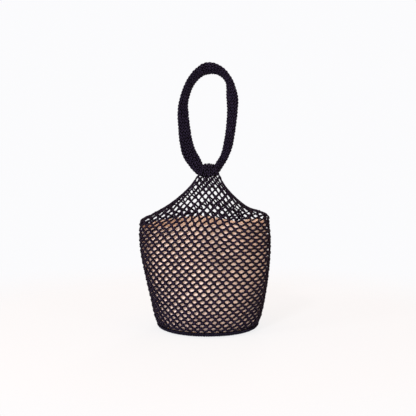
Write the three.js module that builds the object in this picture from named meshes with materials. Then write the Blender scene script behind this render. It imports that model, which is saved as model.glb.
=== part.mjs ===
// A netted bucket bag that stands on its round base: an openwork net wall with two panels that close
// to a neck, a cloth pouch inside it, a band handle in the form of a ring, and a short keeper loop
// that ties the panels to the handle. Millimetres, +Z up, the front faces -Y, and the origin is on
// the floor under the middle of the bag.

import * as THREE from "three";

// Driving dimensions
const SEAT_GAP = 0.3; // between pieces that are sewn or laid together
const NET_THICKNESS = 3.5; // one cord
const BASE_CENTRE_X = 5; // the bag leans a little, so its foot is off the middle

const BASE = {
  footRadius: 72,
  rimRadius: 86.4,
  rimWidth: 4,
  height: 9.5,
  floor: 5, // thickness of the disc
  floorRadius: 80, // of the flat inside
  edgeSteps: 5,
  sides: 48,
};

const POUCH = {
  thickness: 1.6,
  netClearance: 4.2, // from the middle of the net to the outside of the pouch
  cornerRadius: 4,
  cornerRows: 2,
  rimHeight: 175.7,
  rimRiseToRight: 4,
  rimRiseToBack: 1.5,
  folds: 9,
  foldDepth: 0.9,
  sides: 54,
  rows: 7,
};

// The net is a diamond lattice. Wall rows run right round. Above them each panel loses half a column
// a row at both of its edges, so that the mouth is a slit down either side of the neck.
const NET = {
  columns: 12,
  wallRows: 7,
  panelRows: 5,
  bottom: BASE.height + SEAT_GAP,
  shoulder: 184,
  neck: 258,
  slitHalf: 9, // added half width of the mouth, half way up
  neckHalf: 10.4, // half width of the mouth at the neck
};

// How far each gap of the lattice reaches from its centre towards the corners and sides of its cell
const GAP = { corner: 0.66, side: 0.74, hem: 0.14 };

// Horizontal sections through the middle of the net
const NET_SECTIONS = [
  { z: 9.5, halfWidth: 84.4, halfDepth: 84.4, centreX: BASE_CENTRE_X },
  { z: 17, halfWidth: 88.2, halfDepth: 86.6, centreX: BASE_CENTRE_X },
  { z: 26, halfWidth: 90.8, halfDepth: 87.4, centreX: BASE_CENTRE_X },
  { z: 44, halfWidth: 94.6, halfDepth: 87, centreX: 5 },
  { z: 85, halfWidth: 102.5, halfDepth: 82, centreX: 3.5 },
  { z: 126, halfWidth: 108.3, halfDepth: 75, centreX: 1.2 },
  { z: 155, halfWidth: 109.7, halfDepth: 71.5, centreX: 0 },
  { z: 172, halfWidth: 108.5, halfDepth: 70.5, centreX: -0.5 },
  { z: 184, halfWidth: 106, halfDepth: 70, centreX: 0 },
  { z: 192, halfWidth: 91, halfDepth: 67, centreX: 1.5 },
  { z: 205, halfWidth: 68, halfDepth: 55.5, centreX: 2.5 },
  { z: 221, halfWidth: 47, halfDepth: 39, centreX: 3.5 },
  { z: 241, halfWidth: 28, halfDepth: 21, centreX: 5 },
  { z: 258, halfWidth: 18, halfDepth: 13.5, centreX: 6.5 },
];

// The handle's ring, clockwise from its foot: the middle of the band, its width across the ring and
// its depth from front to back
const HANDLE_SECTIONS = [
  { x: 6.5, y: 0, z: 259.5, width: 8.5, depth: 14 },
  { x: -5.5, y: 0, z: 262.5, width: 11, depth: 14 },
  { x: -13.3, y: 0, z: 270, width: 14.5, depth: 12 },
  { x: -20, y: 0, z: 282, width: 19.5, depth: 10 },
  { x: -27, y: 0, z: 296, width: 22, depth: 8.5 },
  { x: -31.6, y: 1, z: 316, width: 21.5, depth: 8.5 },
  { x: -34.5, y: 2, z: 338, width: 20, depth: 9.5 },
  { x: -36.5, y: 3, z: 364, width: 18, depth: 11 },
  { x: -34.5, y: 4, z: 386, width: 15, depth: 13.5 },
  { x: -26, y: 5, z: 410, width: 14.5, depth: 14 },
  { x: -12, y: 6, z: 428.5, width: 16.5, depth: 12.5 },
  { x: 6, y: 6, z: 437.5, width: 19.5, depth: 10.5 },
  { x: 25.7, y: 5, z: 432.8, width: 15, depth: 12.5 },
  { x: 40.3, y: 4, z: 416.4, width: 12.5, depth: 13.5 },
  { x: 45.5, y: 3, z: 391, width: 19, depth: 10.5 },
  { x: 46.2, y: 2, z: 368, width: 17.5, depth: 11.5 },
  { x: 43.5, y: 1, z: 338, width: 16, depth: 12.5 },
  { x: 38.8, y: 0, z: 309, width: 15.5, depth: 13 },
  { x: 33, y: 0, z: 290, width: 12.5, depth: 14 },
  { x: 26.5, y: 0, z: 278, width: 11.5, depth: 14 },
  { x: 18.5, y: 0, z: 265.5, width: 10, depth: 14 },
];
const HANDLE = { stepsPerSection: 3, sides: 12, squareness: 2.5 };

// The keeper loop climbs from the front panel, bends over the handle's foot and runs down to the
// back panel. Its sections are placed by the share of the way from its front end to its back end.
const KEEPER = {
  centreX: HANDLE_SECTIONS[0].x,
  legSpacing: 24,
  archHeight: 272.6, // middle of the band where it crosses the handle's foot
  sides: 12,
  squareness: 2,
  legSteps: 2,
  archSteps: 8,
};
const KEEPER_SECTIONS = [
  { share: 0, width: 32, thickness: 4.6 },
  { share: 0.2, width: 26, thickness: 5 },
  { share: 0.38, width: 18.5, thickness: 8.5 },
  { share: 0.5, width: 18, thickness: 12 },
  { share: 0.62, width: 18.5, thickness: 8.5 },
  { share: 0.8, width: 26, thickness: 5 },
  { share: 1, width: 32, thickness: 4.6 },
];

// Finishes: twisted cotton cord, the same cotton in dense crochet, and plain woven cloth
const BLACK_CORD = { color: 0x1a161d, roughness: 0.85, metalness: 0 };
const BLACK_CROCHET = { color: 0x16131a, roughness: 0.9, metalness: 0 };
const TAN_CLOTH = { color: 0xc9a57f, roughness: 0.8, metalness: 0 };

// Tools

// A column of a table at a place between its rows, on a smooth curve through the rows.
function readTable(rows, key, column, at) {
  let k = rows.findIndex((row) => row[key] > at) - 1;
  if (k < 0) k = at < rows[0][key] ? 0 : rows.length - 2;
  const slope = (n) => {
    const before = rows[Math.max(n - 1, 0)];
    const after = rows[Math.min(n + 1, rows.length - 1)];
    return (after[column] - before[column]) / (after[key] - before[key]);
  };
  const [low, high] = [rows[k], rows[k + 1]];
  const span = high[key] - low[key];
  const t = THREE.MathUtils.clamp((at - low[key]) / span, 0, 1);
  const rise = t * t * (3 - 2 * t);
  return (
    low[column] * (1 - rise) +
    high[column] * rise +
    span * (slope(k) * t * (1 - t) ** 2 - slope(k + 1) * t * t * (1 - t))
  );
}

function meshOf(name, finish, points, triangles) {
  const geometry = new THREE.BufferGeometry();
  geometry.setAttribute("position", new THREE.Float32BufferAttribute(points.flatMap((p) => p.toArray()), 3));
  geometry.setIndex(triangles.flat());
  geometry.computeVertexNormals();
  const mesh = new THREE.Mesh(geometry, new THREE.MeshStandardMaterial(finish));
  mesh.name = name;
  return mesh;
}

// A closed wall from flat faces: each corner has an outer and an inner point, and every edge that
// belongs to one face only gets a strip between the two skins. Faces turn anticlockwise as seen
// from outside.
function wallOf(name, finish, faces, place) {
  const points = [];
  const indexOf = new Map();
  const corner = (key) => {
    if (!indexOf.has(key)) {
      const { outer, inner } = place(key);
      indexOf.set(key, points.length);
      points.push(outer, inner);
    }
    return indexOf.get(key);
  };
  const triangles = [];
  const edges = new Map();
  for (const face of faces) {
    const c = face.map(corner);
    for (let k = 1; k < c.length - 1; k += 1) {
      triangles.push([c[0], c[k], c[k + 1]]);
      triangles.push([c[0] + 1, c[k + 1] + 1, c[k] + 1]);
    }
    c.forEach((from, k) => edges.set(`${from} ${c[(k + 1) % c.length]}`, [from, c[(k + 1) % c.length]]));
  }
  for (const [from, to] of edges.values()) {
    if (edges.has(`${to} ${from}`)) continue;
    triangles.push([to, from, from + 1], [to, from + 1, to + 1]);
  }
  return meshOf(name, finish, points, triangles);
}

// A solid through rings of equal point counts, closed end to end or capped at both ends.
function loftOf(name, finish, rings, closed) {
  const sides = rings[0].length;
  const points = rings.flat();
  const triangles = [];
  const last = closed ? rings.length : rings.length - 1;
  for (let r = 0; r < last; r += 1) {
    for (let s = 0; s < sides; s += 1) {
      const a = r * sides + s;
      const b = r * sides + ((s + 1) % sides);
      const c = ((r + 1) % rings.length) * sides + ((s + 1) % sides);
      const d = ((r + 1) % rings.length) * sides + s;
      triangles.push([a, b, c], [a, c, d]);
    }
  }
  if (!closed) {
    const end = (rings.length - 1) * sides;
    for (let s = 1; s < sides - 1; s += 1) {
      triangles.push([0, s + 1, s], [end, end + s, end + s + 1]);
    }
  }
  return meshOf(name, finish, points, triangles);
}

// One ring of a soft band: a rounded oblong about a centre, along two unit directions.
function bandRing(centre, across, through, width, thickness, sides, squareness) {
  const power = 2 / squareness;
  const bulge = (v) => Math.sign(v) * Math.abs(v) ** power;
  return Array.from({ length: sides }, (_, k) => {
    const angle = (2 * Math.PI * k) / sides;
    return centre
      .clone()
      .addScaledVector(across, (bulge(Math.cos(angle)) * width) / 2)
      .addScaledVector(through, (bulge(Math.sin(angle)) * thickness) / 2);
  });
}

// Base: a dense round disc whose edge turns up to carry the net
function makeBase() {
  const { footRadius, rimRadius, rimWidth, height, floor, floorRadius, edgeSteps, sides } = BASE;
  const innerRadius = rimRadius - rimWidth;
  const profile = [new THREE.Vector2(0, 0)];
  for (let k = 0; k <= edgeSteps; k += 1) {
    const angle = (k / edgeSteps) * (Math.PI / 2);
    const reach = rimRadius - footRadius;
    profile.push(new THREE.Vector2(footRadius + reach * Math.sin(angle), height * (1 - Math.cos(angle))));
  }
  for (let k = edgeSteps; k >= 0; k -= 1) {
    const angle = (k / edgeSteps) * (Math.PI / 2);
    const reach = innerRadius - floorRadius;
    const lift = height - floor;
    const radius = innerRadius - reach * (1 - Math.sin(angle));
    profile.push(new THREE.Vector2(radius, floor + lift * (1 - Math.cos(angle))));
  }
  profile.push(new THREE.Vector2(0, floor));
  const material = new THREE.MeshStandardMaterial(BLACK_CROCHET);
  const base = new THREE.Mesh(new THREE.LatheGeometry(profile, sides), material);
  base.name = "base_disc";
  base.rotation.x = Math.PI / 2;
  base.position.x = BASE_CENTRE_X;
  return base;
}

// Net wall and panels

const HALF_COLUMNS = 2 * NET.columns;
const PANEL_HALF = NET.columns / 2; // half columns from a panel's middle to its edge at the shoulder
const NET_TOP = NET.wallRows + NET.panelRows;

const netSection = (column, z) => readTable(NET_SECTIONS, "z", column, z);

// The middle of the wall at column i, counted in half columns from its front, and row j.
function wallPoint(i, j) {
  const z = NET.bottom + ((NET.shoulder - NET.bottom) * j) / NET.wallRows;
  const angle = (i / PANEL_HALF) * (Math.PI / 2);
  return new THREE.Vector3(
    netSection("centreX", z) + netSection("halfWidth", z) * Math.sin(angle),
    -netSection("halfDepth", z) * Math.cos(angle),
    z,
  );
}

// The middle of a panel at column i, counted from its own middle, and row j. The side is 1 for the
// front panel and -1 for the back one.
function panelPoint(side, i, j) {
  const { wallRows, panelRows, shoulder, neck, slitHalf, neckHalf } = NET;
  const climb = (j - wallRows) / panelRows;
  const z = THREE.MathUtils.lerp(shoulder + SEAT_GAP, neck, climb);
  const slit = slitHalf * Math.sin(Math.PI * climb) + THREE.MathUtils.lerp(SEAT_GAP / 2, neckHalf, climb);
  const angle = (i / (PANEL_HALF - climb * panelRows)) * (Math.PI / 2);
  return new THREE.Vector3(
    netSection("centreX", z) + side * netSection("halfWidth", z) * Math.sin(angle),
    -side * (slit + Math.max(netSection("halfDepth", z) - slit, 0) * Math.cos(angle)),
    z,
  );
}

// Cells of the lattice, as corners of their outline and of their gap in columns and rows
const CELL_OUTLINE = [[1, 0], [0.5, 0.5], [0, 1], [-0.5, 0.5], [-1, 0], [-0.5, -0.5], [0, -1], [0.5, -0.5]];
const CELL_GAP = CELL_OUTLINE.map(([di, dj]) => {
  const share = di === 0 || dj === 0 ? GAP.corner : GAP.side;
  return [di * share, dj * share];
});
const upperHalf = (corners) => [...corners.slice(0, 5), [0, 0]];
const lowerHalf = (corners) => [...corners.slice(4), corners[0], [0, 0]];
const WHOLE_CELL = { outline: CELL_OUTLINE, gap: CELL_GAP };
const LOWER_HEM = {
  outline: upperHalf(CELL_OUTLINE),
  gap: upperHalf(CELL_GAP).map(([di, dj]) => [di, Math.max(dj, GAP.hem)]),
};
const UPPER_HEM = {
  outline: lowerHalf(CELL_OUTLINE),
  gap: lowerHalf(CELL_GAP).map(([di, dj]) => [di, Math.min(dj, -GAP.hem)]),
};

// Four-sided faces between the outline and the gap of the cell at column i and row j.
function cellFaces({ outline, gap }, i, j) {
  const at = ([di, dj]) => [i + di, j + dj];
  return outline.map((corner, k) => {
    const next = (k + 1) % outline.length;
    return [at(corner), at(outline[next]), at(gap[next]), at(gap[k])];
  });
}

// A lattice one cord thick from faces whose corners are columns and rows. Its hems, at the lowest
// and highest rows, stay level.
function latticeOf(name, faces, pointAt, lowest, highest, columnOf) {
  const step = 0.02;
  const corners = new Map();
  const keyOf = ([i, j]) => {
    const key = `${columnOf(i).toFixed(3)} ${j.toFixed(3)}`;
    corners.set(key, [i, j]);
    return key;
  };
  const keyedFaces = faces.map((face) => face.map(keyOf));
  return wallOf(name, BLACK_CORD, keyedFaces, (key) => {
    const [i, j] = corners.get(key);
    const along = pointAt(i + step, j).sub(pointAt(i - step, j));
    const up = pointAt(i, Math.min(j + step, highest)).sub(pointAt(i, Math.max(j - step, lowest)));
    const normal = along.cross(up);
    if (j === lowest || j === highest) normal.setZ(0);
    normal.setLength(NET_THICKNESS / 2);
    const middle = pointAt(i, j);
    return { outer: middle.clone().add(normal), inner: middle.clone().sub(normal) };
  });
}

function makeNetWall() {
  const faces = [];
  for (let j = 0; j <= NET.wallRows; j += 1) {
    let cell = WHOLE_CELL;
    if (j === 0) cell = LOWER_HEM;
    if (j === NET.wallRows) cell = UPPER_HEM;
    for (let i = j % 2; i < HALF_COLUMNS; i += 2) {
      faces.push(...cellFaces(cell, i, j));
    }
  }
  const roundOnce = (i) => (i + HALF_COLUMNS) % HALF_COLUMNS;
  return latticeOf("net_wall", faces, wallPoint, 0, NET.wallRows, roundOnce);
}

function makeNetPanel(name, side) {
  const faces = [];
  for (let j = NET.wallRows; j < NET_TOP; j += 1) {
    const cell = j === NET.wallRows ? LOWER_HEM : WHOLE_CELL;
    const reach = PANEL_HALF + NET.wallRows - j - 1;
    for (let i = -reach; i <= reach; i += 2) {
      faces.push(...cellFaces(cell, i, j));
    }
  }
  const neckCorners = [[0, 0], [-1, 0], [-0.5, -0.5], [0, -1], [0.5, -0.5], [1, 0]];
  faces.push(neckCorners.map(([i, dj]) => [i, NET_TOP + dj]));
  const pointAt = (i, j) => panelPoint(side, i, j);
  return latticeOf(name, faces, pointAt, NET.wallRows, NET_TOP, (i) => i);
}

// Pouch: a cloth tube, open at the top, that follows the net, and the round of cloth sewn into its foot

const POUCH_FLOOR = BASE.floor + SEAT_GAP;

// A point of the tube, from row 0 above its turned-in foot to row 1 at the rim.
function pouchPoint(column, row, inset) {
  const { netClearance, cornerRadius, rimHeight, rimRiseToRight, rimRiseToBack, folds, foldDepth } = POUCH;
  const angle = (column / POUCH.sides) * 2 * Math.PI;
  const [cos, sin] = [Math.cos(angle), Math.sin(angle)];
  const rim = rimHeight + rimRiseToRight * cos + rimRiseToBack * sin;
  const z = THREE.MathUtils.lerp(POUCH_FLOOR + cornerRadius, rim, row);
  const fold = foldDepth * row * Math.cos(folds * angle);
  const shrink = netClearance + fold + inset;
  return new THREE.Vector3(
    netSection("centreX", z) + (netSection("halfWidth", z) - shrink) * cos,
    (netSection("halfDepth", z) - shrink) * sin,
    z,
  );
}

function makePouchWall() {
  const { sides, rows, cornerRadius, cornerRows, thickness } = POUCH;
  const faces = [];
  for (let s = 0; s < sides; s += 1) {
    const next = (s + 1) % sides;
    for (let r = -cornerRows; r < rows; r += 1) {
      faces.push([`${s} ${r}`, `${next} ${r}`, `${next} ${r + 1}`, `${s} ${r + 1}`]);
    }
  }
  return wallOf("pouch_wall", TAN_CLOTH, faces, (key) => {
    const [s, r] = key.split(" ").map(Number);
    const turn = (Math.max(-r, 0) / cornerRows) * (Math.PI / 2);
    const skin = (inset) => {
      const radius = cornerRadius - inset;
      const point = pouchPoint(s, Math.max(r, 0) / rows, inset + radius * (1 - Math.cos(turn)));
      point.z -= radius * Math.sin(turn);
      return point;
    };
    return { outer: skin(0), inner: skin(thickness) };
  });
}

function makePouchFloor() {
  const { netClearance, cornerRadius, thickness, sides } = POUCH;
  const radius = NET_SECTIONS[0].halfWidth - netClearance - cornerRadius - SEAT_GAP;
  const material = new THREE.MeshStandardMaterial(TAN_CLOTH);
  const floor = new THREE.Mesh(new THREE.CylinderGeometry(radius, radius, thickness, sides), material);
  floor.name = "pouch_floor";
  floor.rotation.x = Math.PI / 2;
  floor.position.set(BASE_CENTRE_X, 0, POUCH_FLOOR + thickness / 2);
  return floor;
}

// Handle: a crocheted band closed into a ring
function makeHandle() {
  const { stepsPerSection, sides, squareness } = HANDLE;
  const count = HANDLE_SECTIONS.length;
  const centreLine = new THREE.CatmullRomCurve3(
    HANDLE_SECTIONS.map(({ x, y, z }) => new THREE.Vector3(x, y, z)),
    true,
    "catmullrom",
  );
  const sizes = new THREE.CatmullRomCurve3(
    HANDLE_SECTIONS.map(({ width, depth }) => new THREE.Vector3(width, depth, 0)),
    true,
    "catmullrom",
  );
  const depthAxis = new THREE.Vector3(0, 1, 0);
  const steps = count * stepsPerSection;
  const rings = Array.from({ length: steps }, (_, k) => {
    const t = k / steps;
    const tangent = centreLine.getTangent(t);
    const across = new THREE.Vector3().crossVectors(depthAxis, tangent).normalize();
    const through = new THREE.Vector3().crossVectors(tangent, across).normalize();
    const { x: width, y: depth } = sizes.getPoint(t);
    return bandRing(centreLine.getPoint(t), across, through, width, depth, sides, squareness);
  });
  return loftOf("handle", BLACK_CROCHET, rings, true);
}

// Keeper loop: two short legs and an arch over the handle's foot
function makeKeeper() {
  const { centreX, legSpacing, archHeight, sides, squareness, legSteps, archSteps } = KEEPER;
  const reach = legSpacing / 2;
  const foot = NET.neck + SEAT_GAP;
  const spring = archHeight - reach;
  const sideways = new THREE.Vector3(-1, 0, 0);
  const stations = [];
  for (let k = 0; k < legSteps; k += 1) {
    stations.push({ y: -reach, z: foot + ((spring - foot) * k) / legSteps, angle: 0 });
  }
  for (let k = 0; k <= archSteps; k += 1) {
    const angle = (Math.PI * k) / archSteps;
    stations.push({ y: -reach * Math.cos(angle), z: spring + reach * Math.sin(angle), angle });
  }
  for (let k = legSteps - 1; k >= 0; k -= 1) {
    stations.push({ y: reach, z: foot + ((spring - foot) * k) / legSteps, angle: Math.PI });
  }
  const rings = stations.map(({ y, z, angle }, k) => {
    const share = k / (stations.length - 1);
    const through = new THREE.Vector3(0, -Math.cos(angle), Math.sin(angle));
    const width = readTable(KEEPER_SECTIONS, "share", "width", share);
    const thickness = readTable(KEEPER_SECTIONS, "share", "thickness", share);
    return bandRing(new THREE.Vector3(centreX, y, z), sideways, through, width, thickness, sides, squareness);
  });
  return loftOf("keeper_loop", BLACK_CROCHET, rings, false);
}

const bag = new THREE.Group();
bag.add(makeBase(), makeNetWall(), makeNetPanel("net_front", 1), makeNetPanel("net_back", -1));
bag.add(makePouchWall(), makePouchFloor(), makeHandle(), makeKeeper());

export default bag;
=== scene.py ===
# Looks of the netted bucket bag: a knotted cord net with edged mouths, a cloth pouch, a crocheted
# base, a ring handle and its keeper loop, with a pale floor, studio light and the camera.
# Shapes are worked out in millimetres, in the frame of the CAD part, and meshes are made in metres.

import math

import bpy
import numpy as np
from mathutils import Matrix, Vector


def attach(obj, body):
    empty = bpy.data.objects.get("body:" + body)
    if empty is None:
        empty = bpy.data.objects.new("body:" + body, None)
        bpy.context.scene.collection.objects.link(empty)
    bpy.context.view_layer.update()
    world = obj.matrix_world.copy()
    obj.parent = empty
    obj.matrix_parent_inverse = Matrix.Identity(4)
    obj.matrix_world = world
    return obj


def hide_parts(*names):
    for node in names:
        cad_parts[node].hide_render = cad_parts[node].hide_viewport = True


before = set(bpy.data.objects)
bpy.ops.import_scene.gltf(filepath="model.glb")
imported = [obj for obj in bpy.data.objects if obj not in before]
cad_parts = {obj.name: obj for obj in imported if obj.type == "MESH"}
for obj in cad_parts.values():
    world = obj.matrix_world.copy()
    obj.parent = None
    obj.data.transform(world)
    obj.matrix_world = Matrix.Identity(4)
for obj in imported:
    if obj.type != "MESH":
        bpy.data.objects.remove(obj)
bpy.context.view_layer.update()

MM = 0.001  # metres in a millimetre
CM = 10.0  # millimetres in a centimetre
TINY = 1e-9
SEED = 11
SEEDS = {"drift": (1, 2), "crease": (5, 6), "handle": 21, "keeper": 22, "base": 40}  # added to it
RIPPLE = {"waves": 7, "peak": 1.5}

# Driving dimensions: the CAD part's, but for the net's foot and the cross-sections of the two bands

BASE = {
    "centre_x": 5.0, "foot_radius": 72.0, "rim_radius": 86.4, "rim_width": 4.0,
    "height": 9.5, "floor": 5.0, "floor_radius": 80.0,
}

POUCH = {
    "thickness": 1.6, "net_clearance": 4.2, "corner_radius": 4.0, "floor": 5.3,
    "rim_height": 175.7, "rim_rise_to_right": 4.0, "rim_rise_to_back": 1.5,
    "folds": 9, "fold_depth": 0.9,
}

NET = {"bottom": 8.6, "shoulder": 184.0, "neck": 258.0, "slit_half": 9.0, "neck_half": 10.4}
NET_SECTIONS = {
    "z": [9.5, 17, 26, 44, 85, 126, 155, 172, 184, 192, 205, 221, 241, 258],
    "half_width": [84.4, 88.2, 90.8, 94.6, 102.5, 108.3, 109.7, 108.5, 106, 91, 68, 47, 28, 18],
    "half_depth": [84.4, 86.6, 87.4, 87, 82, 75, 71.5, 70.5, 70, 67, 55.5, 39, 21, 13.5],
    "centre_x": [5, 5, 5, 5, 3.5, 1.2, 0, -0.5, 0, 1.5, 2.5, 3.5, 5, 6.5],
}

HANDLE_SECTIONS = {
    "x": [6.5, -5.5, -13.3, -20, -27, -31.6, -34.5, -36.5, -34.5, -26, -12, 6, 25.7, 40.3, 45.5, 46.2, 43.5,
          38.8, 33, 26.5, 18.5],
    "y": [0, 0, 0, 0, 0, 1, 2, 3, 4, 5, 6, 6, 5, 4, 3, 2, 1, 0, 0, 0, 0],
    "z": [259.5, 262.5, 270, 282, 296, 316, 338, 364, 386, 410, 428.5, 437.5, 432.8, 416.4, 391, 368, 338,
          309, 290, 278, 265.5],
    "width": [8.5, 11, 14.5, 19.5, 22, 21.5, 20, 18, 15, 14.5, 16.5, 19.5, 15, 12.5, 19, 17.5, 16, 15.5,
              12.5, 11.5, 10],
}
HANDLE_STRIP = {
    # degrees that the strip is turned about its run, its thickness there, and what it gains inwards
    "turn": [0, 0, 0, 0, 0, 5, 12, 25, 40, 46, 46, 45, 48, 50, 42, 38, 35, 30, 20, 8, 0],
    "thickness": [14, 14, 12, 10, 8.5, 8.5, 9, 9.5, 10, 10.5, 11.5, 12, 10.5, 9.5, 10, 10, 10, 10.5, 12,
                  13.5, 14],
    "wider": [0, 2, 4.5, 3.5, 1.5, 0, 0, 0, 0, 0, 0, 0, 0, 0, 0, 0, 0, 0, 1, 2, 3],
}
HANDLE_SQUARENESS = 2.8

KEEPER = {"centre_x": 6.5, "reach": 12.0, "foot": 258.3, "arch_height": 272.6, "squareness": 2.8}
KEEPER_SECTIONS = {
    "share": [0, 0.08, 0.15, 0.23, 0.38, 0.5, 0.62, 0.77, 0.85, 0.92, 1],
    "width": [32, 31.5, 29, 27, 23, 22.5, 23, 27, 29, 31.5, 32],
    "thickness": [6.2, 6.5, 4, 7, 9.5, 12, 9.5, 7, 4, 6.5, 6.2],
}

# Real counts and sizes of the handwork

MESH = {
    "columns": 36,
    "lean": 0.175,  # half columns that each row of the wall stands to the right of the row below it
    "wall_rows": 32,
    "panel_rows": 8,
    "gather": 0.82,  # power of a panel's width with which its count of columns falls towards the neck
    "arch": 21.0,  # rise of the row at the shoulder, from the bag's sides to its highest place
    "level_power": 6,  # power with which a panel's rows become level again towards the neck
    "crown": -1.5,  # where the rows stand highest, in half columns from the middle of the front
    # how much of their width the columns keep towards the sides, as seen from the front, at these heights
    "facing_z": [9.5, 126, 172, 205],
    "facing": [0.85, 0.88, 0.93, 0.95],
    "skew": 0.06,  # share by which the columns are closer at the left than at the right of each face
}
UNEVEN = {
    "knot": (0.11, 0.09),  # the most that a knot is off its place, in half columns and in rows
    "drift": (0.2, 0.22),  # about the most that a stretch of the net is, in the same
    "round": 2.2,  # how fast the drift changes round the bag
    "rows": 6,  # and over how many rows upwards
    "hem_rows": 2,  # rows next to the base and to the neck that become level
}
SHOULDER_HUMP = {
    # how far the loose net stands out over the right shoulder, by a power of a sine round to the side
    "z": [184, 187, 190.5, 194, 197.5, 201.5, 206],
    "out": [0, 6, 10.5, 12.5, 8.5, 2, 0],
    "power": 3,
}
PLIES = 2  # of every yarn
CORD = {
    "radius": 1.75,
    "panel_radius": 1.35,  # where the net is drawn up to the neck
    "sides": 7,
    "steps": 8,  # along each side of a cell
    "ply_depth": 0.12,  # how far the two plies stand out, as a share of the radius
    "twist_pitch": 8.5,
    "knot": 4.0,  # between the middles of the two cords of a knot
    "low_knot": 3.6,  # the same at the base
    "panel_knot": 4.2,  # and in the panels
    "knot_share": 0.6,  # the most that it takes of a row's height
    "weave": 0.45,  # how far a cord passes in front of and behind its neighbours
    "weave_power": 0.6,  # how soon it does so, as a power of a sine
    "bluntness": 1.6,  # how flat a cord runs at a knot and across a cell, in radians of a sine's top
}
KNOT = {"half_length": 3.2, "half_height": 1.9, "half_depth": 1.9, "panel_share": 0.9}
MOUTH_EDGE = {
    "inset": 0.6,  # between an edge and the ends of the net's cords
    "loops": 9,  # waves of the edging cord, and their depth
    "dip": 0.8,
    "forward": 0.8,  # how far it lies in front of the net
    "radius": 1.35,
    "tuck": (8.0, -3.0, 8.0),  # how far its end runs on at the neck: inwards, forwards and up
    "steps": 181,
    "tuck_steps": 13,
}

CLOTH = {
    "swell": 1.7,  # how far it fills out against the net, and the share of its height over which that begins
    "swell_share": 1 / 30,
    "rim_arch": 6.5,  # rise of the rim from the bag's sides to its front and back
    "rim_sag": 9.0,  # depth of a sag of the rim, and its place and width in degrees round from the right
    "sag_at": 62.0,
    "sag_width": 20.0,
    "lip": 0.7,  # roundness of the rim
    "hem_depth": 0.55,  # groove of the hem's seam, how far it is below the rim, and its half width
    "hem_drop": 9.0,
    "hem_width": 1.6,
    "uv_unit": 100.0,  # millimetres in one unit of the UVs
}
CREASE = {
    "depth": 0.35,
    "bias": 0.4,  # how much of the cloth the creases take
    # how fast wide and fine creases change round the bag, their slant and their height
    "wide": (3.1, 40, 55),
    "fine": (9, 30, 17),
    "fine_share": 0.6,
}
CLOTH_GRID = {"columns": 252, "wall_rows": 84, "corner_rows": 6, "floor_rows": 12}
MIDDLE_SHARE = 0.02  # radius of the small flat middle of round floors, as a share of theirs

# a plump grain, for stitches and knots: its mesh, and its UVs along and round a ply, which lay the ply
# grooves, painted darker as painted shade, along its two sides
LOBE = {"sides": 6, "rings": (-0.78, -0.28, 0.28, 0.78), "uv_length": 0.25, "uv_turn": -0.25,
        "tip_turn": 0.15}
STITCH = {
    "leg": 0.24,  # from the middle of a V to its legs, in stitches
    "crown": 0.25,  # how far the middle of a grain stands up above its ends, as a share of its height
    "swell": 0.1,  # how uneven the grains are in size
    "shift": 0.05,  # and in place, in stitches
}
# half length and half width of a grain in stitches, its height, how far its V opens, and how deep it lies
GRAIN = {"length": 0.6, "width": 0.18, "height": 1.6, "open": 0.2, "sink": 1.2}
RIM_GRAIN = dict(GRAIN, height=1.2, sink=0.9)
FLOOR_GRAIN = dict(GRAIN, width=0.42, height=1.0, open=0.1, sink=0.7)
# the core under the stitches lies so deep; each stitch is so many steps of its grid
HANDLE_STITCHES = {"rows": 82, "columns": 10, "row_steps": 4, "column_steps": 4, "core": 2.2}
KEEPER_STITCHES = {"rows": 10, "columns": 10, "row_steps": 5, "column_steps": 4, "core": 1.6}
BASE_STITCHES = {
    "pitch": 4.2,
    "rim_rounds": 4,
    "rim_drop": 1.5,  # how far the stitches stay below the top of the rim
    "round_steps": 4,
    "around": 288,
    "least": 5,  # stitches of the first round
    "core": 0.8,
    "core_lift": 0.25,  # of the core above the floor
    "inner_steps": 7,
}
# the core's UVs follow the groove between two plies, where the yarn is painted darkest: painted shade on the
# sunk core between the stitches
CORE_UV_STEP = np.array([0.25, 0.0])
CORE_SHADE_UV = np.array([0.0, 0.25])
ROUTE_STEPS = 4001  # to measure the handle's run by
OUTLINE_STEPS = 361  # to measure the outline of a band by
SHORT_OF_END = 0.001  # rows from a skin's end, for its last points

# Looks and light. Places are in metres; colours of whole numbers are display values, others linear

# yarn goes from its dark colour, in painted shade in ply grooves and on sunk cores, to its light one on the
# ply ridges
CORD_COLOURS = {"dark": (4, 3, 6), "light": (45, 38, 60)}
CROCHET_COLOURS = {"dark": (1, 1, 2), "light": (47, 42, 67)}
CLOTH_COLOURS = {
    "dull": (231, 215, 211),
    "bright": (239, 226, 224),
    # the inner face, painted darker and browner as painted shade inside the pouch
    "inside": (224, 202, 188),
    # painted shade: a browner tan for the low places of the weave
    "shade": (216, 170, 128),
}
YARN = {
    "dye": (55.0, 4.0, 0.6),  # scale, detail and roughness of a noise
    "fibre": (1.6, 3.0, 0.65),
    # the ridge depth darkens the colour in the grooves between plies, as painted shade, as well as the bump
    "fibres_along": 3.0, "fibres_around": 22.0, "fibre_depth": 0.55, "ridge_depth": 0.8,
    "dye_tone": 0.7, "base_tone": -0.75, "bump": 0.55, "bump_height": 0.0004,
    "roughness": 0.92, "fibre_gloss": -0.2, "specular": 0.03,
}
WEAVE = {
    "threads": 55.0,  # in one unit of the UVs
    "slub": (420.0, 3.0, 0.5),
    "tone": (24.0, 4.0, 0.5),
    "slub_depth": 0.6, "thread_depth": 0.5, "depth_shade": -0.5, "base_shade": 0.47,
    "bump": 0.35, "bump_height": 0.0004, "roughness": 0.9, "slub_gloss": -0.2,
    "specular": 0.25, "sheen": 0.1, "sheen_roughness": 0.4,
}

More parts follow.
